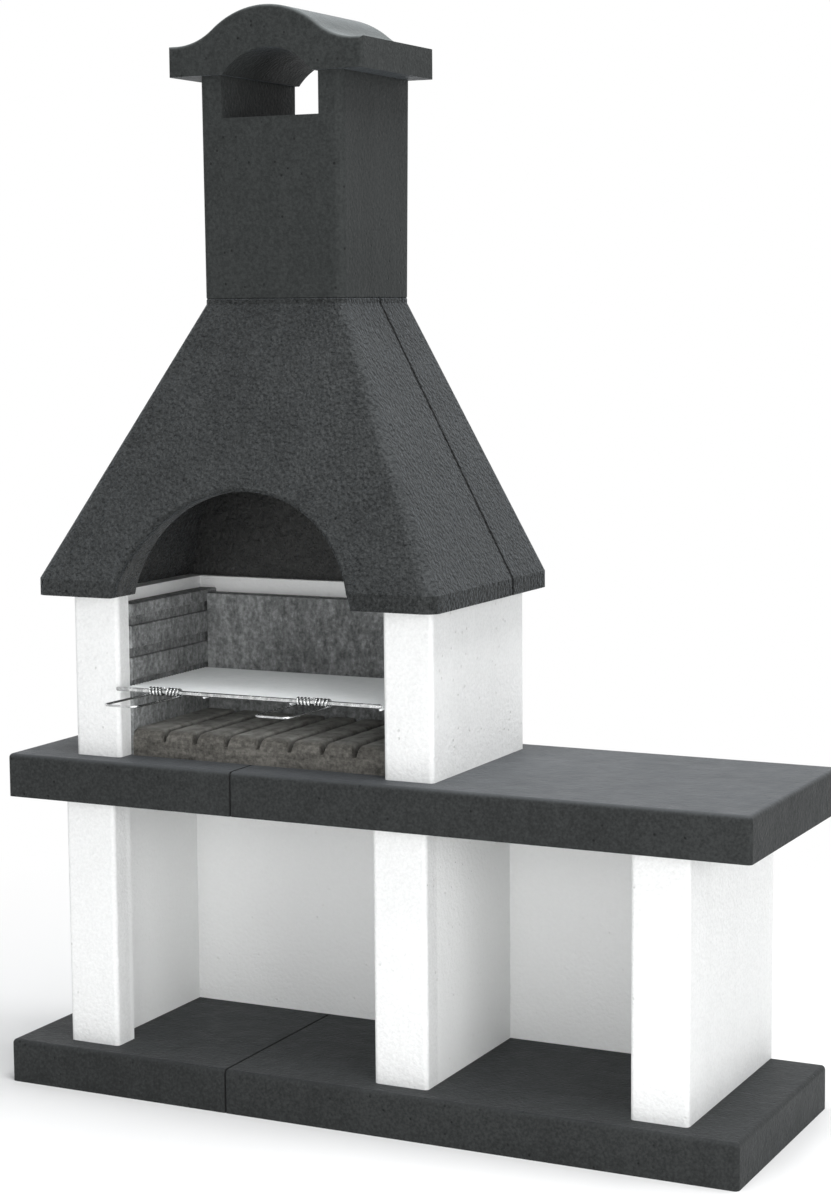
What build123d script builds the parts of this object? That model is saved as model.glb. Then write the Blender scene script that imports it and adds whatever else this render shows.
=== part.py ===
"""Garden barbecue built from precast concrete blocks, with a hood, a chimney and a side table.

The origin is the centre of the base's underside. X points to the right, Y to the back and Z up.
All sizes are in millimetres.
"""

import os

from build123d import *

# Base and worktop: two cast slabs each, laid end to end
base_length = 1750
base_left_length = 567
worktop_left_length = 581
worktop_left_inset = 10
worktop_right_overhang = 22
slab_depth = 590
slab_thickness = 98
slab_edge_radius = 10
slab_seam_chamfer = 3

# Lower walls: a wide post in front and a thinner web behind it
lower_wall_height = 567
lower_wall_setback = 54
lower_wall_depth = 534
lower_post_width = 128
lower_post_depth = 66
lower_web_thickness = 82
post_corner_radius = 10
left_wall_inset = 128
centre_wall_right_side = 1036
right_wall_inset = 125

# Lower back panels
panel_thickness = 50
panel_setback = 486

# Firebox walls on the worktop
firebox_left_side = 159
firebox_right_side = 1053
firebox_wall_height = 368
firebox_setback = 57
firebox_depth = 465
firebox_post_width = 117
firebox_post_depth = 45
firebox_web_thickness = 82
firebox_back_thickness = 50

# Refractory lining with the grooves that carry the grill
lining_thickness = 43
side_lining_height = 341
back_lining_height = 332
lining_lip_radius = 3
groove_count = 3
groove_first_height = 147
groove_pitch = 72
groove_height = 22
groove_depth = 10

# Ribbed fire grate
grate_setback = 96
grate_height = 60
grate_side_gap = 2
grate_back_gap = 2
grate_nose_radius = 24
grate_rib_count = 8
slot_depth = 26
slot_bottom_width = 10
slot_throat_width = 18
slot_lip_radius = 8

# Cooking grill of welded rods
grill_depth = 380
grill_back_gap = 5
grill_side_gap = 2
grill_seat_gap = 0.3
runner_diameter = 6
stiffener_count = 2
bar_wire_diameter = 4
bar_wire_count = 32
weld_gap = 0.3
front_rail_diameter = 10
front_rail_weld_depth = 1
front_rail_overhang = 2

# Wire handles of the grill
handle_left_offset = 205
handle_right_offset = 167
handle_width = 82
handle_reach = 185
handle_drop = 5
handle_wire_diameter = 5
handle_corner_radius = 16
handle_eye_length = 20
handle_eye_gap = 0.3

# Hood of two castings, cut in a plane across its sides
hood_side_overhang = 45
hood_front_overhang = 81
hood_back_overhang = 49
hood_rim_height = 37
hood_height = 637
hood_neck_height = 12
hood_edge_radius = 30
hood_foot_side_wall = 84
hood_foot_front_wall = 100
hood_foot_back_wall = 80
hood_foot_height = 190
hood_shell_wall = 52
hood_seam_setback = 370
hood_seam_chamfer = 4
arch_width = 590
arch_height = 236
arch_edge_radius = 6

# Chimney with open notches in front and behind, under the cap
chimney_length = 348
chimney_depth = 325
chimney_height = 484
chimney_side_flare = 3
chimney_back_flare = 8
chimney_wall = 54
chimney_setback = 191
chimney_edge_radius = 18
chimney_joint_chamfer = 2
notch_height = 92

# Cap: a slab with an arched middle
cap_left_overhang = 73
cap_right_overhang = 59
cap_front_overhang = 12
cap_depth = 347
cap_thickness = 66
cap_crown_height = 145
cap_flange_length = 78
cap_haunch_share = 1.9
cap_seat_length = 64
cap_vault_height = 54
cap_edge_radius = 8

# One overrun serves all cuts
overrun = 20

# Levels and places that follow from the sizes
base_left = -base_length / 2
slab_front = -slab_depth / 2
base_top = slab_thickness
worktop_left = base_left + worktop_left_inset
worktop_bottom = base_top + lower_wall_height
worktop_top = worktop_bottom + slab_thickness
firebox_left = base_left + firebox_left_side
firebox_right = base_left + firebox_right_side
firebox_centre = (firebox_left + firebox_right) / 2
firebox_front = slab_front + firebox_setback
firebox_back = firebox_front + firebox_depth
firebox_back_face = firebox_back - firebox_back_thickness
firebox_top = worktop_top + firebox_wall_height
lining_left_face = firebox_left + firebox_web_thickness + lining_thickness
lining_right_face = firebox_right - firebox_web_thickness - lining_thickness
lining_front = firebox_front + firebox_post_depth
lining_back_face = firebox_back_face - lining_thickness
hood_front = firebox_front - hood_front_overhang
hood_back = firebox_back + hood_back_overhang
hood_top = firebox_top + hood_height
chimney_front = slab_front + chimney_setback
chimney_back = chimney_front + chimney_depth
chimney_bottom = hood_top + hood_neck_height
chimney_top = chimney_bottom + chimney_height


def slab(x_low, length, z_low, seam_on_right):
    """Cast slab with soft upper edges and a small chamfer round the end that meets its neighbour."""
    with BuildPart() as body:
        with BuildSketch(Plane.XY.offset(z_low)):
            with Locations((x_low + length / 2, 0)):
                Rectangle(length, slab_depth)
        extrude(amount=slab_thickness)
        end = -1 if seam_on_right else 0
        seam_face = body.faces().sort_by(Axis.X)[end]
        seam_x = seam_face.center().X
        soft = body.edges().filter_by(Axis.Z) + body.faces().sort_by(Axis.Z)[-1].edges()
        soft = [edge for edge in soft if abs(edge.center().X - seam_x) > slab_edge_radius]
        fillet(soft, slab_edge_radius)
        ring = body.faces().sort_by(Axis.X)[end].edges().sort_by(Axis.Z)[1:]
        chamfer(ring, slab_seam_chamfer)
    return body


def post_and_web(outer_x, inward, front_y, depth, z_low, height, post_width, post_depth, web):
    """Wall casting seen from above as a wide post in front and a thinner web behind it."""
    back_y = front_y + depth
    with BuildPart() as body:
        with BuildSketch(Plane.XY.offset(z_low)) as plan:
            with BuildLine():
                Polyline(
                    (outer_x, front_y),
                    (outer_x + inward * post_width, front_y),
                    (outer_x + inward * post_width, front_y + post_depth),
                    (outer_x + inward * web, front_y + post_depth),
                    (outer_x + inward * web, back_y),
                    (outer_x, back_y),
                    close=True,
                )
            make_face()
            fillet(plan.vertices().group_by(Axis.Y)[0], post_corner_radius)
        extrude(amount=height)
    return body


def plate(x_low, x_high, y_low, thickness, z_low, height):
    """Flat upright plate that faces the front."""
    with BuildPart() as body:
        with BuildSketch(Plane.XY.offset(z_low)):
            with Locations(((x_low + x_high) / 2, y_low + thickness / 2)):
                Rectangle(x_high - x_low, thickness)
        extrude(amount=height)
    return body


def side_lining(wall_x, inward):
    """Refractory side plate with level grooves along its inner face."""
    face_x = wall_x + inward * lining_thickness
    with BuildPart() as body:
        with BuildSketch(Plane.XZ.offset(-firebox_back_face)) as profile:
            with Locations(((wall_x + face_x) / 2, worktop_top + side_lining_height / 2)):
                Rectangle(lining_thickness, side_lining_height)
            for level in range(groove_count):
                low = worktop_top + groove_first_height + level * groove_pitch
                with Locations((face_x, low + groove_height / 2)):
                    Rectangle(2 * groove_depth, groove_height, mode=Mode.SUBTRACT)
            lips = profile.vertices().group_by(Axis.X)[-1 if inward > 0 else 0]
            fillet(lips, lining_lip_radius)
        extrude(amount=firebox_back_face - lining_front)
    return body


# Base slabs
base_slab_left = slab(base_left, base_left_length, 0, True)
base_slab_left.part.label = "base_slab_left"
base_slab_right = slab(base_left + base_left_length, base_length - base_left_length, 0, False)
base_slab_right.part.label = "base_slab_right"

# Worktop slabs
worktop_slab_left = slab(worktop_left, worktop_left_length, worktop_bottom, True)
worktop_slab_left.part.label = "worktop_slab_left"
worktop_seam = worktop_left + worktop_left_length
worktop_right = base_left + base_length + worktop_right_overhang
worktop_slab_right = slab(worktop_seam, worktop_right - worktop_seam, worktop_bottom, False)
worktop_slab_right.part.label = "worktop_slab_right"

# Lower walls
lower_front = slab_front + lower_wall_setback
lower_sizes = (lower_front, lower_wall_depth, base_top, lower_wall_height)
lower_section = (lower_post_width, lower_post_depth, lower_web_thickness)
lower_left_x = base_left + left_wall_inset
centre_right_x = base_left + centre_wall_right_side
right_right_x = base_left + base_length - right_wall_inset
lower_wall_left = post_and_web(lower_left_x, 1, *lower_sizes, *lower_section)
lower_wall_left.part.label = "lower_wall_left"
lower_wall_centre = post_and_web(centre_right_x, -1, *lower_sizes, *lower_section)
lower_wall_centre.part.label = "lower_wall_centre"
lower_wall_right = post_and_web(right_right_x, -1, *lower_sizes, *lower_section)
lower_wall_right.part.label = "lower_wall_right"

# Lower back panels, each between the webs of two walls
panel_front = slab_front + panel_setback
panel_sizes = (panel_front, panel_thickness, base_top, lower_wall_height)
centre_web_left = centre_right_x - lower_web_thickness
right_web_left = right_right_x - lower_web_thickness
lower_panel_left = plate(lower_left_x + lower_web_thickness, centre_web_left, *panel_sizes)
lower_panel_left.part.label = "lower_panel_left"
lower_panel_right = plate(centre_right_x, right_web_left, *panel_sizes)
lower_panel_right.part.label = "lower_panel_right"

# Firebox walls
firebox_sizes = (firebox_front, firebox_depth, worktop_top, firebox_wall_height)
firebox_section = (firebox_post_width, firebox_post_depth, firebox_web_thickness)
firebox_wall_left = post_and_web(firebox_left, 1, *firebox_sizes, *firebox_section)
firebox_wall_left.part.label = "firebox_wall_left"
firebox_wall_right = post_and_web(firebox_right, -1, *firebox_sizes, *firebox_section)
firebox_wall_right.part.label = "firebox_wall_right"
firebox_wall_back = plate(
    firebox_left + firebox_web_thickness,
    firebox_right - firebox_web_thickness,
    firebox_back_face,
    firebox_back_thickness,
    worktop_top,
    firebox_wall_height,
)
firebox_wall_back.part.label = "firebox_wall_back"

# Linings
lining_left = side_lining(firebox_left + firebox_web_thickness, 1)
lining_left.part.label = "lining_left"
lining_right = side_lining(firebox_right - firebox_web_thickness, -1)
lining_right.part.label = "lining_right"
lining_back = plate(
    lining_left_face, lining_right_face, lining_back_face, lining_thickness, worktop_top, back_lining_height
)
lining_back.part.label = "lining_back"

# Fire grate: its side view has a rounded nose, and tapered slots run through it from front to back
grate_front = slab_front + grate_setback
grate_back = lining_back_face - grate_back_gap
grate_length = lining_right_face - lining_left_face - 2 * grate_side_gap
grate_top = worktop_top + grate_height
slot_pitch = grate_length / grate_rib_count
slot_floor = grate_top - slot_depth
with BuildPart() as fire_grate:
    with BuildSketch(Plane.YZ.offset(lining_left_face + grate_side_gap)) as side_view:
        with Locations(((grate_front + grate_back) / 2, (worktop_top + grate_top) / 2)):
            Rectangle(grate_back - grate_front, grate_height)
        nose = side_view.vertices().group_by(Axis.X)[0].sort_by(Axis.Y)[-1]
        fillet(nose, grate_nose_radius)
    extrude(amount=grate_length)
    with BuildSketch(Plane.XZ.offset(-grate_back - overrun)) as slots:
        for number in range(1, grate_rib_count):
            slot_x = lining_left_face + grate_side_gap + number * slot_pitch
            with Locations((slot_x, 0)):
                with BuildSketch(mode=Mode.PRIVATE) as slot:
                    with BuildLine():
                        lip_left = (-slot_throat_width / 2 - slot_lip_radius, grate_top)
                        throat_left = (-slot_throat_width / 2, grate_top - slot_lip_radius)
                        throat_right = (slot_throat_width / 2, grate_top - slot_lip_radius)
                        lip_right = (slot_throat_width / 2 + slot_lip_radius, grate_top)
                        RadiusArc(lip_left, throat_left, slot_lip_radius)
                        Line(throat_left, (-slot_bottom_width / 2, slot_floor))
                        Line((-slot_bottom_width / 2, slot_floor), (slot_bottom_width / 2, slot_floor))
                        Line((slot_bottom_width / 2, slot_floor), throat_right)
                        RadiusArc(throat_right, lip_right, slot_lip_radius)
                        Line(lip_right, lip_left)
                    make_face()
                add(slot.sketch)
    extrude(amount=grate_back - grate_front + 2 * overrun, mode=Mode.SUBTRACT)
fire_grate.part.label = "fire_grate"

# Cooking grill frame: runners and stiffeners from front to back, a rear rod and a longer front rail
runner_radius = runner_diameter / 2
runner_level = worktop_top + groove_first_height + grill_seat_gap + runner_radius
post_left_face = firebox_left + firebox_post_width
post_right_face = firebox_right - firebox_post_width
runner_left_x = post_left_face + grill_side_gap + runner_radius
runner_right_x = post_right_face - grill_side_gap - runner_radius
runner_spacing = (runner_right_x - runner_left_x) / (stiffener_count + 1)
grill_back = lining_back_face - grill_back_gap
grill_front = grill_back - grill_depth
rear_rod_y = grill_back - runner_radius
bar_wire_level = runner_level + runner_radius + weld_gap + bar_wire_diameter / 2
front_rail_level = runner_level + runner_radius + front_rail_diameter / 2 - front_rail_weld_depth
front_rail_y = grill_front + front_rail_diameter / 2
front_rail_low_x = post_left_face - front_rail_overhang
front_rail_length = post_right_face + front_rail_overhang - front_rail_low_x
with BuildPart() as grill_frame:
    with BuildSketch(Plane.XZ.offset(-rear_rod_y)):
        for number in range(stiffener_count + 2):
            with Locations((runner_left_x + number * runner_spacing, runner_level)):
                Circle(runner_radius)
    extrude(amount=rear_rod_y - front_rail_y)
    with BuildSketch(Plane.YZ.offset(runner_left_x - runner_radius)):
        with Locations((rear_rod_y, runner_level)):
            Circle(runner_radius)
    extrude(amount=runner_right_x - runner_left_x + runner_diameter)
    with BuildSketch(Plane.YZ.offset(front_rail_low_x)):
        with Locations((front_rail_y, front_rail_level)):
            Circle(front_rail_diameter / 2)
    extrude(amount=front_rail_length)
grill_frame.part.label = "grill_frame"

# Cooking bars: close wires from side to side on top of the frame
bar_wire_pitch = (rear_rod_y - front_rail_y) / bar_wire_count
with BuildPart() as grill_bars:
    with BuildSketch(Plane.YZ.offset(runner_left_x - runner_radius)):
        for number in range(bar_wire_count):
            with Locations((rear_rod_y - number * bar_wire_pitch, bar_wire_level)):
                Circle(bar_wire_diameter / 2)
    extrude(amount=runner_right_x - runner_left_x + runner_diameter)
grill_bars.part.label = "grill_bars"

# Wire handles: a loop whose two ends close into eyes round the front rail
handle_radius = handle_wire_diameter / 2
eye_inner_radius = front_rail_diameter / 2 + handle_eye_gap
eye_outer_radius = eye_inner_radius + handle_radius
leg_start_y = front_rail_y - eye_inner_radius
loop_tip_y = front_rail_y - handle_reach
loop_level = front_rail_level - handle_drop


def handle(centre_x):
    """Loop handle bent from one wire."""
    left_x = centre_x - handle_width / 2
    right_x = centre_x + handle_width / 2
    with BuildPart() as body:
        with BuildLine() as path:
            FilletPolyline(
                (left_x, leg_start_y, loop_level),
                (left_x, loop_tip_y, loop_level),
                (right_x, loop_tip_y, loop_level),
                (right_x, leg_start_y, loop_level),
                radius=handle_corner_radius,
            )
        with BuildSketch(Plane(origin=path.line @ 0, z_dir=path.line % 0)):
            Circle(handle_radius)
        sweep(path=path.line)
        for leg_x in (left_x, right_x):
            with BuildSketch(Plane.YZ.offset(leg_x - handle_eye_length / 2)):
                with Locations((front_rail_y, front_rail_level)):
                    Circle(eye_outer_radius)
            extrude(amount=handle_eye_length)
        with BuildSketch(Plane.YZ.offset(left_x - handle_eye_length)):
            with Locations((front_rail_y, front_rail_level)):
                Circle(eye_inner_radius)
        extrude(amount=handle_width + 2 * handle_eye_length, mode=Mode.SUBTRACT)
    return body


grill_handle_left = handle(firebox_centre - handle_left_offset)
grill_handle_left.part.label = "grill_handle_left"
grill_handle_right = handle(firebox_centre + handle_right_offset)
grill_handle_right.part.label = "grill_handle_right"

# Hood: tapered shell between a straight rim and a short neck, with an arched mouth in front
hood_length = firebox_right - firebox_left + 2 * hood_side_overhang
hood_rim_top = firebox_top + hood_rim_height
hood_foot_top = firebox_top + hood_foot_height
hood_middle_y = (hood_front + hood_back) / 2
chimney_middle_y = (chimney_front + chimney_back) / 2
hood_seam_y = slab_front + hood_seam_setback
flue_length = chimney_length - 2 * chimney_wall
flue_depth = chimney_depth - 2 * chimney_wall

# The hood's outline at the top of its foot, where the cavity turns to follow the shell
taper = (hood_foot_top - hood_rim_top) / (hood_top - hood_rim_top)
foot_outer_length = hood_length + taper * (chimney_length - hood_length)
foot_outer_front = hood_front + taper * (chimney_front - hood_front)
foot_outer_back = hood_back + taper * (chimney_back - hood_back)
cavity_low_front = hood_front + hood_foot_front_wall
cavity_low_back = hood_back - hood_foot_back_wall
cavity_low_length = hood_length - 2 * hood_foot_side_wall
cavity_middle_front = foot_outer_front + hood_shell_wall
cavity_middle_back = foot_outer_back - hood_shell_wall
cavity_middle_length = foot_outer_length - 2 * hood_shell_wall


def level_outline(z, length, y_front, y_back, radius):
    """Level rectangle centred over the firebox, with rounded corners where a radius is given."""
    with BuildSketch(Plane.XY.offset(z)) as outline:
        with Locations((firebox_centre, (y_front + y_back) / 2)):
            Rectangle(length, y_back - y_front)
        if radius > 0:
            fillet(outline.vertices(), radius)
    return outline.sketch


def hood_half(keep):
    """One casting of the hood, in front of the seam or behind it."""
    rim_size = (hood_length, hood_front, hood_back, hood_edge_radius)
    neck_size = (chimney_length, chimney_front, chimney_back, chimney_edge_radius)
    flue_size = (flue_length, chimney_front + chimney_wall, chimney_back - chimney_wall, 0)
    low_size = (cavity_low_length, cavity_low_front, cavity_low_back, 0)
    middle_size = (cavity_middle_length, cavity_middle_front, cavity_middle_back, 0)
    with BuildPart() as body:
        loft([level_outline(firebox_top, *rim_size), level_outline(hood_rim_top, *rim_size)])
        loft([level_outline(hood_rim_top, *rim_size), level_outline(hood_top, *neck_size)])
        loft([level_outline(hood_top, *neck_size), level_outline(chimney_bottom, *neck_size)])
        neck_ring = body.faces().sort_by(Axis.Z)[-1].edges()
        chamfer(neck_ring, chimney_joint_chamfer)
        loft(
            [level_outline(firebox_top, *low_size), level_outline(hood_foot_top, *middle_size)],
            mode=Mode.SUBTRACT,
        )
        loft(
            [level_outline(hood_foot_top, *middle_size), level_outline(hood_top, *flue_size)],
            mode=Mode.SUBTRACT,
        )
        loft(
            [level_outline(hood_top, *flue_size), level_outline(chimney_bottom, *flue_size)],
            mode=Mode.SUBTRACT,
        )
        with BuildSketch(Plane.XZ.offset(-hood_middle_y)):
            with BuildLine():
                left_foot = (firebox_centre - arch_width / 2, firebox_top)
                crown = (firebox_centre, firebox_top + arch_height)
                right_foot = (firebox_centre + arch_width / 2, firebox_top)
                ThreePointArc(left_foot, crown, right_foot)
                Line(right_foot, left_foot)
            make_face()
        extrude(amount=hood_middle_y - hood_front + overrun, mode=Mode.SUBTRACT)
        arch_face = body.faces().filter_by(GeomType.CYLINDER).sort_by(SortBy.AREA)[-1]
        arch_curves = arch_face.edges().filter_by(GeomType.LINE, reverse=True)
        fillet([edge for edge in arch_curves if edge.center().Y < cavity_low_front], arch_edge_radius)
        split(bisect_by=Plane.XZ.offset(-hood_seam_y), keep=keep)
        sides = body.faces().filter_by(
            lambda face: (face.center().X - firebox_centre) * face.normal_at().X > hood_seam_chamfer
        )
        seam_group = -1 if keep == Keep.TOP else 0
        chamfer(sides.edges().group_by(Axis.Y)[seam_group], hood_seam_chamfer)
    return body


hood_front_casting = hood_half(Keep.TOP)
hood_front_casting.part.label = "hood_front_casting"
hood_back_casting = hood_half(Keep.BOTTOM)
hood_back_casting.part.label = "hood_back_casting"

# Chimney: a square flue, a little wider and deeper at the top, with walls notched under the cap
chimney_top_length = chimney_length + 2 * chimney_side_flare
chimney_top_back = chimney_back + chimney_back_flare
foot_size = (chimney_length, chimney_front, chimney_back, chimney_edge_radius)
head_size = (chimney_top_length, chimney_front, chimney_top_back, chimney_edge_radius)
with BuildPart() as chimney:
    loft([level_outline(chimney_bottom, *foot_size), level_outline(chimney_top, *head_size)])
    chamfer(chimney.faces().sort_by(Axis.Z)[0].edges(), chimney_joint_chamfer)
    with BuildSketch(Plane.XY.offset(chimney_bottom)):
        with Locations((firebox_centre, chimney_middle_y)):
            Rectangle(flue_length, flue_depth)
    extrude(amount=chimney_height, mode=Mode.SUBTRACT)
    with BuildSketch(Plane.XZ.offset(-chimney_back - overrun)):
        with Locations((firebox_centre, chimney_top - notch_height / 2)):
            Rectangle(flue_length, notch_height)
    extrude(amount=chimney_depth + 2 * overrun, mode=Mode.SUBTRACT)
chimney.part.label = "chimney"

# Cap: the same wave from front to back, level flanges on the side walls and a vault over the flue
cap_top = chimney_top + cap_thickness
cap_left = firebox_centre - chimney_length / 2 - cap_left_overhang
cap_right = firebox_centre + chimney_length / 2 + cap_right_overhang
cap_middle = (cap_left + cap_right) / 2
cap_front = chimney_front - cap_front_overhang
cap_back = cap_front + cap_depth
with BuildPart() as chimney_cap:
    with BuildSketch(Plane.XZ.offset(-cap_back)) as wave:
        with BuildLine():
            crown_left = (cap_left + cap_flange_length, cap_top)
            crown_right = (cap_right - cap_flange_length, cap_top)
            vault_left = (firebox_centre - chimney_length / 2 + cap_seat_length, chimney_top)
            vault_right = (firebox_centre + chimney_length / 2 - cap_seat_length, chimney_top)
            Line((cap_left, chimney_top), (cap_left, cap_top))
            Line((cap_left, cap_top), crown_left)
            ThreePointArc(crown_left, (cap_middle, chimney_top + cap_crown_height), crown_right)
            Line(crown_right, (cap_right, cap_top))
            Line((cap_right, cap_top), (cap_right, chimney_top))
            Line((cap_right, chimney_top), vault_right)
            ThreePointArc(vault_right, (firebox_centre, chimney_top + cap_vault_height), vault_left)
            Line(vault_left, (cap_left, chimney_top))
        make_face()
        haunches = wave.vertices().group_by(Axis.Y)[-1].sort_by(Axis.X)[1:-1]
        fillet(haunches, cap_haunch_share * cap_flange_length)
    extrude(amount=cap_back - cap_front)
    upper_faces = chimney_cap.faces().filter_by(lambda face: face.normal_at().Z > 0)
    upper_faces += chimney_cap.faces().filter_by(Axis.X)
    soft = [edge for edge in upper_faces.edges() if edge.center().Z > chimney_top + cap_edge_radius]
    rims = [edge for edge in soft if abs(edge.center().Y - (cap_front + cap_back) / 2) > cap_edge_radius]
    fillet(rims, cap_edge_radius)
chimney_cap.part.label = "chimney_cap"

os.makedirs("parts", exist_ok=True)
export_step(base_slab_left.part, "parts/base_slab_left.step")
export_step(base_slab_right.part, "parts/base_slab_right.step")
export_step(worktop_slab_left.part, "parts/worktop_slab_left.step")
export_step(worktop_slab_right.part, "parts/worktop_slab_right.step")
export_step(lower_wall_left.part, "parts/lower_wall_left.step")
export_step(lower_wall_centre.part, "parts/lower_wall_centre.step")
export_step(lower_wall_right.part, "parts/lower_wall_right.step")
export_step(lower_panel_left.part, "parts/lower_panel_left.step")
export_step(lower_panel_right.part, "parts/lower_panel_right.step")
export_step(firebox_wall_left.part, "parts/firebox_wall_left.step")
export_step(firebox_wall_right.part, "parts/firebox_wall_right.step")
export_step(firebox_wall_back.part, "parts/firebox_wall_back.step")
export_step(lining_left.part, "parts/lining_left.step")
export_step(lining_right.part, "parts/lining_right.step")
export_step(lining_back.part, "parts/lining_back.step")
export_step(fire_grate.part, "parts/fire_grate.step")
export_step(grill_frame.part, "parts/grill_frame.step")
export_step(grill_bars.part, "parts/grill_bars.step")
export_step(grill_handle_left.part, "parts/grill_handle_left.step")
export_step(grill_handle_right.part, "parts/grill_handle_right.step")
export_step(hood_front_casting.part, "parts/hood_front_casting.step")
export_step(hood_back_casting.part, "parts/hood_back_casting.step")
export_step(chimney.part, "parts/chimney.step")
export_step(chimney_cap.part, "parts/chimney_cap.step")
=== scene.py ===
"""Looks of a garden barbecue of precast concrete blocks, in the order of its assembly."""

import math

import bpy
import numpy as np
from mathutils import Matrix


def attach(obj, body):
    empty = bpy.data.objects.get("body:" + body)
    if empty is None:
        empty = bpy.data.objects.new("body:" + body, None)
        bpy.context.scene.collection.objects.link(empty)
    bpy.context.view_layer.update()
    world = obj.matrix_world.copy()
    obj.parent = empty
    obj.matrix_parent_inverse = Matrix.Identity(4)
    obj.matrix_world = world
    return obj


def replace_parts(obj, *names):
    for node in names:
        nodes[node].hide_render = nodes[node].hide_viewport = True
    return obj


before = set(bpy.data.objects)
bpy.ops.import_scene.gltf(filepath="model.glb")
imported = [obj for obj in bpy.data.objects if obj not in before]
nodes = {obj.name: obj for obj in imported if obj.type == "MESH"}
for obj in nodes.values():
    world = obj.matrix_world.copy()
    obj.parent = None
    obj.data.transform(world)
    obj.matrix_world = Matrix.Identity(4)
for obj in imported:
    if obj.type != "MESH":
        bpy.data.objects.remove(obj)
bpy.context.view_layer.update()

# Setting: a plain pale floor under soft studio light, seen from the front right at the height of
# the hood. Floor and world show white to the lens, and to metal, as in a cut-out photograph.
white = (1.0, 1.0, 1.0, 1)


def fill(tree, made, **values):
    """Writes each value on the node's socket of that name, or links it when it is a socket."""
    for key, value in values.items():
        socket = made.inputs[key.replace("_", " ")]
        if isinstance(value, bpy.types.NodeSocket):
            tree.links.new(value, socket)
        else:
            socket.default_value = value


def node(tree, kind, **values):
    """Adds a shader node and fills its sockets."""
    made = tree.nodes.new(kind)
    fill(tree, made, **values)
    return made


def reckon(tree, operation, *terms):
    """Result of a Math node, with sockets or plain numbers as its terms."""
    made = tree.nodes.new("ShaderNodeMath")
    made.operation = operation
    for socket, term in zip(made.inputs, terms):
        if isinstance(term, bpy.types.NodeSocket):
            tree.links.new(term, socket)
        else:
            socket.default_value = term
    return made.outputs[0]


def to_lens_or_metal(tree):
    """1 for rays from the lens and for glossy rays, 0 for all others."""
    path = tree.nodes.new("ShaderNodeLightPath")
    return reckon(tree, "MAXIMUM", path.outputs["Is Camera Ray"], path.outputs["Is Glossy Ray"])


def whitened(tree, share, surface, blank, output):
    """Sends a surface to the output, with a blank white one over it in the given share."""
    mix = node(tree, "ShaderNodeMixShader", Fac=share)
    tree.links.new(surface.outputs[0], mix.inputs[1])
    tree.links.new(blank.outputs[0], mix.inputs[2])
    tree.links.new(mix.outputs[0], output.inputs["Surface"])


world = bpy.data.worlds.new("studio_air")
world.use_nodes = True
air_tree = world.node_tree
air_tree.nodes.clear()
air = node(air_tree, "ShaderNodeBackground", Color=(0.96, 0.98, 1.0, 1), Strength=0.39)
air_white = node(air_tree, "ShaderNodeBackground", Color=white, Strength=1.0)
air_output = air_tree.nodes.new("ShaderNodeOutputWorld")
whitened(air_tree, to_lens_or_metal(air_tree), air, air_white, air_output)
bpy.context.scene.world = world

# The floor keeps the barbecue's soft shadow and fades to the white of the world further out.
floor_reach = 14.0
shadow_kept, shadow_gone = 1.2, 2.8
pale_floor = bpy.data.materials.new("pale_floor")
pale_floor.use_nodes = True
floor_tree = pale_floor.node_tree
floor_shader = floor_tree.nodes["Principled BSDF"]
fill(floor_tree, floor_shader, Base_Color=(0.94, 0.94, 0.94, 1), Roughness=0.95)
away = floor_tree.nodes.new("ShaderNodeVectorMath")
away.operation = "LENGTH"
floor_place = floor_tree.nodes.new("ShaderNodeTexCoord").outputs["Object"]
floor_tree.links.new(floor_place, away.inputs[0])
fade = node(
    floor_tree, "ShaderNodeMapRange",
    Value=away.outputs["Value"], From_Min=shadow_kept, From_Max=shadow_gone,
)
fade.interpolation_type = "SMOOTHSTEP"
whitened(
    floor_tree, reckon(floor_tree, "MULTIPLY", to_lens_or_metal(floor_tree), fade.outputs[0]),
    floor_shader, node(floor_tree, "ShaderNodeEmission", Color=white, Strength=1.0),
    floor_tree.nodes["Material Output"],
)
floor_corners = [(-1, -1, 0), (1, -1, 0), (1, 1, 0), (-1, 1, 0)]
floor_mesh = bpy.data.meshes.new("studio_floor")
floor_mesh.from_pydata((floor_reach * np.array(floor_corners)).tolist(), [], [(0, 1, 2, 3)])
floor_mesh.materials.append(pale_floor)
studio_floor = bpy.data.objects.new("studio_floor", floor_mesh)
bpy.context.collection.objects.link(studio_floor)


def soft_lamp(name, place, target, watts):
    """White square panel lamp, 4 m wide, at a place and turned to shine on a target."""
    data = bpy.data.lights.new(name, "AREA")
    data.shape = "SQUARE"
    data.size = 4.0
    data.energy = watts
    lamp = bpy.data.objects.new(name, data)
    back = np.array(place, float) - np.array(target, float)
    back /= np.linalg.norm(back)
    right = np.cross((0.0, 1.0, 0.0), back)
    right /= np.linalg.norm(right)
    up = np.cross(back, right)
    turn = Matrix(np.column_stack([right, up, back]).tolist()).to_4x4()
    lamp.matrix_world = Matrix.Translation(place) @ turn
    bpy.context.collection.objects.link(lamp)


soft_lamp("sky_panel", (1.2, -0.2, 6.8), (0.1, 0.0, 1.0), 430)
soft_lamp("front_panel", (1.0, -7.8, 1.7), (0.0, 0.0, 0.8), 182)
soft_lamp("side_panel", (6.8, -4.2, 1.7), (0.0, 0.0, 0.9), 256)

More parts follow.
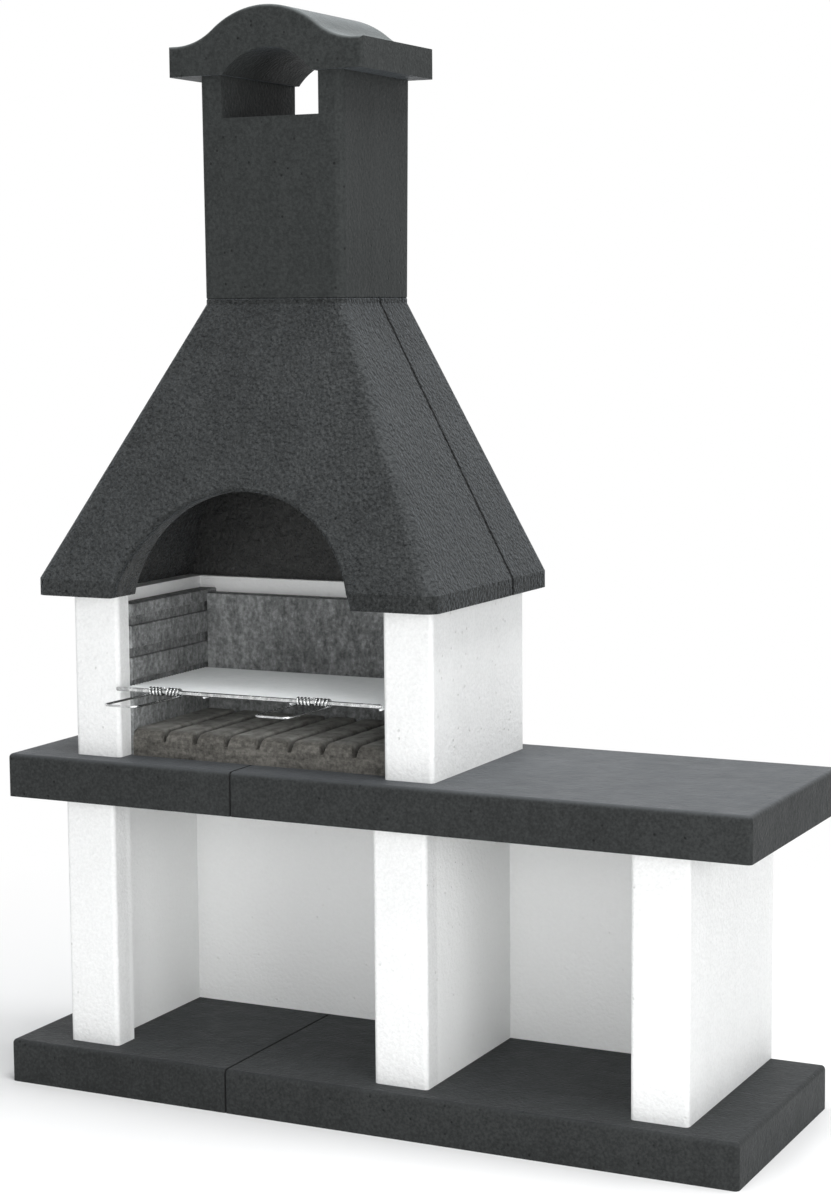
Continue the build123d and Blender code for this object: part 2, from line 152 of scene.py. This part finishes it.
# The lens stands where the photograph was taken, found from the corners and edges of the castings.
camera_place = (2.450, -4.914, 1.750)
camera_yaw = math.radians(-26.29)
camera_dip = math.radians(6.56)
camera_roll = math.radians(-0.46)
film_width, focal_length = 36.0, 108.83
sight = np.array([
    math.sin(camera_yaw) * math.cos(camera_dip),
    math.cos(camera_yaw) * math.cos(camera_dip),
    -math.sin(camera_dip),
])
level_right = np.array([math.cos(camera_yaw), -math.sin(camera_yaw), 0.0])
level_up = np.cross(level_right, sight)
lens_right = math.cos(camera_roll) * level_right + math.sin(camera_roll) * level_up
lens_up = math.cos(camera_roll) * level_up - math.sin(camera_roll) * level_right
camera_data = bpy.data.cameras.new("photo_camera")
camera_data.sensor_fit = "HORIZONTAL"
camera_data.sensor_width = film_width
camera_data.lens = focal_length
photo_camera = bpy.data.objects.new("photo_camera", camera_data)
lens_turn = Matrix(np.column_stack([lens_right, lens_up, -sight]).tolist()).to_4x4()
photo_camera.matrix_world = Matrix.Translation(camera_place) @ lens_turn
bpy.context.collection.objects.link(photo_camera)
bpy.context.scene.camera = photo_camera
bpy.context.scene.view_settings.view_transform = "Standard"

# Base slabs: two slabs of vibrated concrete laid end to end on the ground, cast face up and
# sprayed with a matt anthracite masonry paint that follows the sand grain and the small air holes.
base_seam_x, worktop_seam_x = -0.308, -0.284


def fresh_material(name):
    """Node material with a Principled shader and a node for the object coordinates."""
    made = bpy.data.materials.new(name)
    made.use_nodes = True
    made.node_tree.nodes.new("ShaderNodeTexCoord")
    return made


def opened(material):
    """Tree, shader and object coordinates in metres of a material, for its next layer."""
    tree = material.node_tree
    place = tree.nodes["Texture Coordinate"].outputs["Object"]
    return tree, tree.nodes["Principled BSDF"], place


def split(tree, vector):
    """The three parts of a vector."""
    return node(tree, "ShaderNodeSeparateXYZ", Vector=vector).outputs


def lots(tree, cells):
    """Three random numbers for each cell of a Voronoi pattern, read from its colour."""
    return node(tree, "ShaderNodeSeparateColor", Color=cells.outputs["Color"]).outputs


def grain(tree, place, scale, detail, roughness, distortion=0.0):
    """Noise value at so many features to the metre."""
    return node(
        tree, "ShaderNodeTexNoise", Vector=place, Scale=scale, Detail=detail, Roughness=roughness,
        Distortion=distortion,
    ).outputs[0]


def stretched(tree, place, scales):
    """Object coordinates scaled apart along the three axes."""
    return node(tree, "ShaderNodeMapping", Vector=place, Scale=scales).outputs[0]


def ranged(tree, value, low, high, to_low, to_high):
    """Value carried from one range to another and held within it."""
    return node(
        tree, "ShaderNodeMapRange", Value=value, From_Min=low, From_Max=high, To_Min=to_low,
        To_Max=to_high,
    ).outputs[0]


def apart(tree, value, middle):
    """Distance between a value and a middle."""
    return reckon(tree, "ABSOLUTE", reckon(tree, "SUBTRACT", value, middle))


def product(tree, first, *others):
    """Product of two or more values."""
    for other in others:
        first = reckon(tree, "MULTIPLY", first, other)
    return first


def weighed(tree, *pairs):
    """Sum of values that each count by their share."""
    parts = [reckon(tree, "MULTIPLY", value, share) for value, share in pairs]
    total = parts[0]
    for part in parts[1:]:
        total = reckon(tree, "ADD", total, part)
    return total


def shades(tree, factor, *stops):
    """Colour ramp from pairs of a place and a linear colour."""
    ramp = tree.nodes.new("ShaderNodeValToRGB")
    tree.links.new(factor, ramp.inputs[0])
    points = ramp.color_ramp.elements
    while len(points) < len(stops):
        points.new(0.5)
    for point, (position, colour) in zip(points, stops):
        point.position = position
        point.color = (*colour, 1)
    return ramp.outputs[0]


def laid_over(tree, shader, share, colour):
    """Lays a colour over what the shader shows so far, in the given share."""
    base = shader.inputs["Base Color"]
    mix = tree.nodes.new("ShaderNodeMix")
    mix.data_type = "RGBA"
    factor, under, over = mix.inputs[0], mix.inputs[6], mix.inputs[7]
    tree.links.new(share, factor)
    tree.links.new(base.links[0].from_socket, under)
    if isinstance(colour, bpy.types.NodeSocket):
        tree.links.new(colour, over)
    else:
        over.default_value = (*colour, 1)
    tree.links.new(mix.outputs[2], base)


def air_holes(tree, place, scale, share):
    """Small round pits left by air at the mould: 1 inside a pit, 0 on the skin."""
    cells = node(tree, "ShaderNodeTexVoronoi", Vector=place, Scale=scale)
    depth = ranged(tree, cells.outputs["Distance"], 0.10, 0.24, 1.0, 0.0)
    return product(tree, depth, reckon(tree, "LESS_THAN", lots(tree, cells)[0], share))


def relief(tree, shader, *steps):
    """Bump from a chain of pairs of a height and a depth in metres."""
    normal = None
    for height, depth in steps:
        bump = node(tree, "ShaderNodeBump", Height=height, Distance=depth, Strength=1.0)
        if normal is not None:
            tree.links.new(normal, bump.inputs["Normal"])
        normal = bump.outputs[0]
    tree.links.new(normal, shader.inputs["Normal"])


def painted_concrete(name, dark, mid, light, pit, hole_share, rough, coarse):
    """Masonry paint on cast concrete: sand grain, a cloudy mottle, runs of the spray and air holes.

    The roughness lies between the two numbers of rough. The crumbs in the paint stand as high as
    coarse, in metres, and the sand a fifth of that.
    """
    made = fresh_material(name)
    tree, shader, place = opened(made)
    cloud = grain(tree, place, 2.3, 3.0, 0.55, distortion=0.4)
    mottle = grain(tree, place, 19.0, 3.0, 0.6)
    sand = grain(tree, place, 150.0, 3.0, 0.7)
    fine = grain(tree, place, 620.0, 2.0, 0.6)
    runs = grain(tree, stretched(tree, place, (26.0, 26.0, 1.6)), 1.0, 3.0, 0.55)
    crumbs = grain(tree, place, 115.0, 1.0, 0.5)
    holes = air_holes(tree, place, 62.0, hole_share)
    body = weighed(tree, (cloud, 0.16), (mottle, 0.12), (sand, 0.62), (runs, 0.10))
    fill(
        tree, shader,
        Base_Color=shades(tree, body, (0.40, dark), (0.5, mid), (0.60, light)),
        Roughness=ranged(tree, mottle, 0.3, 0.7, *rough),
    )
    laid_over(tree, shader, product(tree, holes, 0.8), pit)
    relief(
        tree, shader, (mottle, 0.0018), (crumbs, coarse), (sand, 0.2 * coarse), (fine, 0.0004),
        (reckon(tree, "SUBTRACT", 1.0, holes), 0.0012),
    )
    return made


def anthracite_paint(name, dark, mid, light, top_highlight, coarse, seams):
    """Dark masonry paint, with a painted highlight on the faces turned up and dark lines along the
    seams.

    The highlight stands in for the sky's light on those faces. It is painted weaker on the base,
    which the worktop shades. Each seam line is dark adhesive with painted shade of the seam's
    groove in it. Each seam is a number of an axis, its place on that axis, the width of the line,
    and the lowest and highest point of it.
    """
    made = painted_concrete(
        name, dark, mid, light, pit=(0.012, 0.0125, 0.0125), hole_share=0.12, rough=(0.40, 0.52),
        coarse=coarse,
    )
    tree, shader, place = opened(made)
    facing = tree.nodes.new("ShaderNodeNewGeometry").outputs["Normal"]
    axes = split(tree, place)
    height = axes[2]
    # Painted highlight: faces turned up are made lighter, as the sky's light falls on them, and
    # less so low down, where the worktop shades the base.
    upward = reckon(tree, "MAXIMUM", split(tree, facing)[2], 0.0)
    lying = reckon(tree, "POWER", upward, 2.0)
    highlight_by_height = ranged(tree, height, 0.4, 0.7, 0.20, 0.85)
    patches = ranged(tree, grain(tree, place, 7.0, 4.0, 0.6), 0.3, 0.6, 0.8, 1.0)
    laid_over(tree, shader, product(tree, lying, highlight_by_height, patches), top_highlight)
    # Dark line along each seam: dark adhesive, with painted shade of the seam's groove.
    for axis, seam, width, low, high in seams:
        line = ranged(tree, apart(tree, axes[axis], seam), 0.3 * width, 0.7 * width, 0.75, 0.0)
        above = reckon(tree, "GREATER_THAN", height, low)
        below = reckon(tree, "LESS_THAN", height, high)
        laid_over(tree, shader, product(tree, line, above, below), (0.008, 0.008, 0.008))
    fill(
        tree, shader, Specular_IOR_Level=0.04, Sheen_Weight=0.10, Sheen_Roughness=0.2,
        Sheen_Tint=(0.80, 0.90, 1.0, 1),
    )
    return made


def dress(material, *names):
    """Puts the material on every slot of the named castings."""
    for name in names:
        for slot in nodes[name].material_slots:
            slot.material = material


slab_paint = anthracite_paint(
    "slab_paint",
    dark=(0.024, 0.0252, 0.0252), mid=(0.032, 0.034, 0.034), light=(0.043, 0.0455, 0.0455),
    top_highlight=(0.099, 0.105, 0.111), coarse=0.0010,
    seams=((0, base_seam_x, 0.005, -0.01, 0.11), (0, worktop_seam_x, 0.005, 0.66, 0.77)),
)
dress(slab_paint, "base_slab_left", "base_slab_right")

# Lower walls and back panels: castings with a wide front post and a thinner web, stood on the base
# in adhesive and painted matt white. The panels between the webs close the bays behind.
firebox_x = -0.269
bays = ((0.0, 0.020, 0.380), (0.690, 0.205, 0.300))
firebox = ((firebox_x, 0.010, 0.950), (0.420, 0.200, 0.190))


def within(tree, place, middle, half):
    """1 inside a box given by its middle and half sizes, falling to 0 over 1 cm outside it."""
    return product(tree, *(
        ranged(tree, apart(tree, part, centre), reach, reach + 0.01, 1.0, 0.0)
        for part, centre, reach in zip(split(tree, place), middle, half)
    ))


white_paint = painted_concrete(
    "white_paint", dark=(0.80, 0.805, 0.80), mid=(0.845, 0.85, 0.845), light=(0.88, 0.885, 0.88),
    pit=(0.70, 0.70, 0.69), hole_share=0.05, rough=(0.66, 0.80), coarse=0.0016,
)
wall_tree, wall_shader, wall_place = opened(white_paint)
fill(wall_tree, wall_shader, Specular_IOR_Level=0.4)
# Painted light: the white is painted paler inside the bays and inside the firebox, to lift the
# shade in these recesses.
lifted_recesses = reckon(
    wall_tree, "ADD", within(wall_tree, wall_place, *bays), within(wall_tree, wall_place, *firebox),
)
laid_over(wall_tree, wall_shader, product(wall_tree, lifted_recesses, 0.75), (0.955, 0.962, 0.955))
dress(white_paint, "lower_wall_left", "lower_wall_centre", "lower_wall_right")
dress(white_paint, "lower_panel_left", "lower_panel_right")

# Worktop slabs: two slabs laid on the three walls, the right one long enough for a side table.
# They are made and painted like the base.
dress(slab_paint, "worktop_slab_left", "worktop_slab_right")

# Firebox walls: two castings shaped like the lower ones and a plate behind them, set on the
# worktop and painted white.
dress(white_paint, "firebox_wall_left", "firebox_wall_right", "firebox_wall_back")

# Linings: three plates of refractory concrete that stand inside the firebox. The side plates are
# grooved to carry the grill. The open grain is left as it comes from the mould.


def refractory(name, dark, mid, light, streak):
    """Unpainted refractory concrete: crushed grit with pale stones, mould streaks and cement dust.

    The streaks run along the axis that has the smallest number in streak.
    """
    made = fresh_material(name)
    tree, shader, place = opened(made)
    cloud = grain(tree, place, 5.0, 3.0, 0.6, distortion=0.5)
    grit = grain(tree, place, 95.0, 3.0, 0.75)
    fine = grain(tree, place, 480.0, 2.0, 0.6)
    streaks = grain(tree, stretched(tree, place, streak), 1.0, 4.0, 0.65)
    body = weighed(tree, (cloud, 0.22), (grit, 0.42), (streaks, 0.36))
    fill(
        tree, shader,
        Base_Color=shades(tree, body, (0.39, dark), (0.5, mid), (0.61, light)),
        Roughness=0.92, Specular_IOR_Level=0.3,
    )
    stones = node(tree, "ShaderNodeTexVoronoi", Vector=place, Scale=190.0)
    speck = ranged(tree, stones.outputs["Distance"], 0.12, 0.42, 1.0, 0.0)
    chosen = reckon(tree, "GREATER_THAN", lots(tree, stones)[1], 0.78)
    laid_over(tree, shader, product(tree, speck, chosen, 0.45), light)
    relief(tree, shader, (streaks, 0.0022), (grit, 0.0018), (fine, 0.0006))
    return made


lining_concrete = refractory(
    "lining_concrete",
    dark=(0.105, 0.109, 0.109), mid=(0.215, 0.222, 0.222), light=(0.38, 0.39, 0.39),
    streak=(70.0, 70.0, 24.0),
)
# The grooves of the side plates are darkened from halfway into their depth: soot, with painted
# shade of the grooves.
lining_tree, lining_shader, lining_place = opened(lining_concrete)
lining_axes = split(lining_tree, lining_place)
from_middle = apart(lining_tree, lining_axes[0], firebox_x)
groove_soot_and_shade = product(
    lining_tree,
    ranged(lining_tree, from_middle, 0.3225, 0.3265, 0.0, 0.15),
    ranged(lining_tree, lining_axes[2], 0.90, 0.91, 0.0, 1.0),
    ranged(lining_tree, lining_axes[2], 1.078, 1.084, 1.0, 0.0),
)
laid_over(lining_tree, lining_shader, groove_soot_and_shade, (0.020, 0.020, 0.020))
dress(lining_concrete, "lining_left", "lining_right", "lining_back")

# Fire grate: a ribbed slab of the same refractory concrete, laid loose on the worktop inside the
# linings. Charcoal burns on its ribs and has tinted them brown. The tops of the ribs behind the
# front
# are painted pale: ash, with painted light where the grill above shades them.
rib_foot, rib_top = 0.800, 0.822
pale_tops_begin, pale_tops_full = -0.190, -0.165
grate_concrete = refractory(
    "grate_concrete",
    dark=(0.050, 0.048, 0.043), mid=(0.112, 0.107, 0.096), light=(0.195, 0.186, 0.168),
    streak=(14.0, 60.0, 60.0),
)
grate_tree, grate_shader, grate_place = opened(grate_concrete)
grate_axes = split(grate_tree, grate_place)
drifts = grain(grate_tree, grate_place, 28.0, 4.0, 0.65)
# Pale rib tops: ash, with painted light where the grill above shades them.
ash_and_top_light = product(
    grate_tree,
    ranged(grate_tree, grate_axes[2], rib_foot, rib_top, 0.25, 1.0),
    ranged(grate_tree, grate_axes[1], pale_tops_begin, pale_tops_full, 0.0, 1.0),
    ranged(grate_tree, drifts, 0.35, 0.62, 0.30, 0.95),
)
laid_over(grate_tree, grate_shader, ash_and_top_light, (0.40, 0.395, 0.37))
dress(grate_concrete, "fire_grate")

# Grill: a frame of runners, a rear rod and a longer front rail, with close wires from side to side
# welded on top. It is steel wire, chrome plated after welding.
runner_x, runner_z = np.linspace(-0.594, 0.056, 4), 0.9133
runner_radius, rail_radius, bar_radius = 0.003, 0.005, 0.002
rail_left, rail_right = -0.601, 0.063
rail_y, rail_z = -0.246, 0.9203
runner_front = rail_y + 0.003
rear_y = 0.126
bars = 32
bar_left, bar_right, bar_z = -0.597, 0.059, 0.9186
bar_y = np.linspace(rear_y, rail_y, bars + 1)[:bars]

chrome = fresh_material("chromed_wire")
chrome_tree, chrome_shader, chrome_place = opened(chrome)
plating = grain(chrome_tree, chrome_place, 55.0, 3.0, 0.6)
drawn = grain(chrome_tree, chrome_place, 900.0, 2.0, 0.5)
fill(
    chrome_tree, chrome_shader, Metallic=0.05,
    Base_Color=shades(chrome_tree, plating, (0.3, (0.90, 0.93, 0.93)), (0.7, (0.96, 0.98, 0.98))),
    Roughness=ranged(chrome_tree, plating, 0.3, 0.7, 0.48, 0.62),
)
relief(chrome_tree, chrome_shader, (plating, 0.0002), (drawn, 0.00004))

# The rail and the handles are rubbed bright by hands and hooks.
bright_wire = fresh_material("bright_wire")
bright_tree, bright_shader, bright_place = opened(bright_wire)
worn = grain(bright_tree, bright_place, 90.0, 3.0, 0.6)
fill(
    bright_tree, bright_shader, Metallic=1.0,
    Base_Color=shades(bright_tree, worn, (0.35, (0.38, 0.39, 0.39)), (0.65, (0.66, 0.67, 0.67))),
    Roughness=ranged(bright_tree, worn, 0.3, 0.7, 0.14, 0.30),
)
relief(bright_tree, bright_shader, (worn, 0.0003))


def spokes(side, lift, sides):
    """Unit vectors round each point: cos a on its side vector plus sin a on its lift vector."""
    angle = np.linspace(0.0, 2.0 * np.pi, sides, endpoint=False)
    return (
        np.cos(angle)[None, :, None] * side[:, None, :]
        + np.sin(angle)[None, :, None] * lift[:, None, :]
    )


def wire_piece(name, points, faces, finish):
    """Smooth mesh of wire in its finish, moving with the grill."""
    mesh = bpy.data.meshes.new(name)
    mesh.from_pydata(points.reshape(-1, 3).tolist(), [], faces)
    mesh.polygons.foreach_set("use_smooth", [True] * len(mesh.polygons))
    mesh.materials.append(finish)
    made = bpy.data.objects.new(name, mesh)
    bpy.context.collection.objects.link(made)
    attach(made, "grill")
    return made


def rod_set(name, starts, ends, radius, sides, finish):
    """Straight level rods with domed ends as one mesh.

    Each rod is a grid of stations along it by points round it: a point is the axis point plus the
    ring radius times a spoke. The ring radius follows a quarter circle over the last radius of
    each end.
    """
    starts = np.atleast_2d(np.array(starts, float))
    along = np.atleast_2d(np.array(ends, float)) - starts
    length = np.linalg.norm(along, axis=1, keepdims=True)
    along = along / length
    side = np.cross((0.0, 0.0, 1.0), along)
    side /= np.linalg.norm(side, axis=1, keepdims=True)
    spoke = spokes(side, np.cross(along, side), sides)
    dome = np.radians([15.0, 40.0, 65.0, 90.0])
    inset = radius * (1.0 - np.cos(dome))
    ring = radius * np.sin(dome)
    ring = np.concatenate([ring, ring[::-1]])
    reach = np.concatenate([0.0 * length + inset, length - inset[::-1]], axis=1)
    points = (
        starts[:, None, None, :]
        + reach[:, :, None, None] * along[:, None, None, :]
        + ring[None, :, None, None] * spoke[:, None, :, :]
    )
    index = np.arange(points[..., 0].size).reshape(points.shape[:3])
    turn = np.roll(index, -1, axis=2)
    quads = np.stack([index[:, :-1], turn[:, :-1], turn[:, 1:], index[:, 1:]], axis=-1)
    caps = np.concatenate([index[:, 0, ::-1], index[:, -1]])
    return wire_piece(name, points, quads.reshape(-1, 4).tolist() + caps.tolist(), finish)


# The runners end inside the rail, 3 mm behind its axis. The rear rod is the last of the frame.
frame_starts = [(x, runner_front, runner_z) for x in runner_x] + [(bar_left, rear_y, runner_z)]
frame_ends = [(x, rear_y, runner_z) for x in runner_x] + [(bar_right, rear_y, runner_z)]
grill_runners = rod_set("grill_runners", frame_starts, frame_ends, runner_radius, 16, chrome)
grill_rail = rod_set(
    "grill_rail", (rail_left, rail_y, rail_z), (rail_right, rail_y, rail_z), rail_radius, 24,
    bright_wire,
)
bar_starts = np.column_stack([np.full(bars, bar_left), bar_y, np.full(bars, bar_z)])
bar_ends = bar_starts + (bar_right - bar_left, 0.0, 0.0)
grill_wires = rod_set("grill_wires", bar_starts, bar_ends, bar_radius, 12, chrome)
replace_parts(grill_runners, "grill_frame")
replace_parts(grill_wires, "grill_bars")

# Handles: each is one wire bent into a loop, with both ends wound round the front rail until
# they meet. They are plated together with the grill.
handle_radius = 0.0025
half_loop, loop_corner, loop_reach, loop_drop = 0.041, 0.016, 0.1849, 0.005
winding_turns, winding_gap, winding_play = 4.5, 0.002, 0.0001


def bent_wire(name, path, up, radius, sides, finish):
    """Round wire carried along a path of points: a ring of spokes times the radius stands square to
    the path at each point. The side vectors are square to the path and to the given up vectors."""
    ahead = np.gradient(path, axis=0)
    ahead /= np.linalg.norm(ahead, axis=1, keepdims=True)
    side = np.cross(ahead, up)
    side /= np.linalg.norm(side, axis=1, keepdims=True)
    points = path[:, None, :] + radius * spokes(side, np.cross(side, ahead), sides)
    index = np.arange(len(path) * sides).reshape(-1, sides)
    turn = np.roll(index, -1, axis=1)
    quads = np.stack([index[:-1], index[1:], turn[1:], turn[:-1]], axis=-1)
    caps = [index[0].tolist(), index[-1, ::-1].tolist()]
    return wire_piece(name, points, quads.reshape(-1, 4).tolist() + caps, finish)


def loop_handle(name, middle_x):
    """Handle made of half a winding, a leg and a rounded corner, and the same again mirrored.

    The winding is x = pitch times turn, with y and z on a circle round the rail. The legs leave the
    underside of the winding and rise a little to the front; the loop's corners are quarter circles.
    The up vectors point away from the rail in the winding, and down, as at its end, elsewhere.
    """
    coil = rail_radius + handle_radius + winding_play
    leg_x = middle_x - half_loop
    tip_y, tip_z = rail_y - loop_reach, rail_z - loop_drop
    turn = np.linspace(0.0, winding_turns, 180)
    angle = 2.0 * np.pi * (turn - winding_turns)
    left_coil = np.column_stack([
        middle_x - winding_gap - (half_loop - winding_gap) * turn / winding_turns,
        rail_y - coil * np.sin(angle), rail_z - coil * np.cos(angle),
    ])
    leg = np.linspace(0.0, 1.0, 24)[1:]
    left_leg = np.column_stack([
        np.full(len(leg), leg_x), rail_y + leg * (tip_y + loop_corner - rail_y),
        rail_z - coil + leg * (tip_z - rail_z + coil),
    ])
    bend = np.radians(np.linspace(0.0, 90.0, 14)[1:])
    left_bend = np.column_stack([
        leg_x + loop_corner * (1.0 - np.cos(bend)), tip_y + loop_corner * (1.0 - np.sin(bend)),
        np.full(len(bend), tip_z),
    ])
    left_half = np.concatenate([left_coil, left_leg, left_bend])
    right_half = left_half[::-1] * (-1.0, 1.0, 1.0) + (2.0 * middle_x, 0.0, 0.0)
    path = np.concatenate([left_half, right_half])
    wound = np.abs(path[:, 1] - rail_y) <= coil * 1.0001
    from_rail = (path - (0.0, rail_y, rail_z)) * (0.0, 1.0, 1.0)
    up = np.where(wound[:, None], from_rail, (0.0, 0.0, -1.0))
    return bent_wire(name, path, up, handle_radius, 12, bright_wire)


for name, middle_x in (("grill_handle_left", -0.474), ("grill_handle_right", -0.102)):
    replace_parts(loop_handle(name + "_wire", middle_x), name)

# Hood: a front and a rear casting that meet in a plane across the sides, set on the firebox walls.
# They are thin-walled concrete, painted like the slabs outside and left bare inside, where a paler
# grey stands for the bare concrete together with painted light against the shade in the hood.
hood_seam_y, hood_rim, hood_neck = 0.075, 1.168, 1.778
hood_paint = anthracite_paint(
    "hood_paint",
    dark=(0.020, 0.021, 0.021), mid=(0.0352, 0.0374, 0.0374), light=(0.056, 0.059, 0.0595),
    top_highlight=(0.110, 0.117, 0.123), coarse=0.0140,
    seams=((1, hood_seam_y, 0.013, 1.12, hood_neck),),
)


def inside_hood(tree, place):
    """1 on the bare inner faces of the hood: points more than half a wall's thickness behind the
    planes of its sides, front and back. A plane is its foot less its slope times the rise."""
    across, along, height = split(tree, place)
    rise = reckon(tree, "MAXIMUM", reckon(tree, "SUBTRACT", height, hood_rim), 0.0)
    behind = []
    for reach, foot, slope in (
        (apart(tree, across, firebox_x), 0.492, 0.525),
        (reckon(tree, "MULTIPLY", along, -1.0), 0.319, 0.358),
        (along, 0.276, 0.092),
    ):
        plane = reckon(tree, "SUBTRACT", foot, reckon(tree, "MULTIPLY", rise, slope))
        depth = reckon(tree, "SUBTRACT", plane, reach)
        behind.append(ranged(tree, depth, 0.018, 0.030, 0.0, 1.0))
    return product(tree, *behind)


# Painted light: the bare inside is given a paler grey than the paint outside, which also lifts the
# shade inside the hood.
hood_tree, hood_shader, hood_place = opened(hood_paint)
inside_cloud = grain(hood_tree, hood_place, 30.0, 4.0, 0.6)
bare_and_lifted_inside = shades(
    hood_tree, inside_cloud, (0.35, (0.058, 0.059, 0.058)), (0.65, (0.080, 0.081, 0.079)),
)
laid_over(hood_tree, hood_shader, inside_hood(hood_tree, hood_place), bare_and_lifted_inside)
dress(hood_paint, "hood_front_casting", "hood_back_casting")

# Chimney and cap: a square flue with open notches in front and behind, stood on the hood's neck,
# under a cap cast in the shape of a wave. Both are fine concrete in the same paint.
neck_seam_z = 1.780
# The chimney and cap get the palest painted highlight on their faces turned up.
chimney_paint = anthracite_paint(
    "chimney_paint",
    dark=(0.026, 0.0280, 0.0277), mid=(0.0340, 0.0366, 0.0363), light=(0.043, 0.0460, 0.0455),
    top_highlight=(0.17, 0.185, 0.187), coarse=0.0016, seams=((2, neck_seam_z, 0.002, 1.77, 1.79),),
)
dress(chimney_paint, "chimney", "chimney_cap")
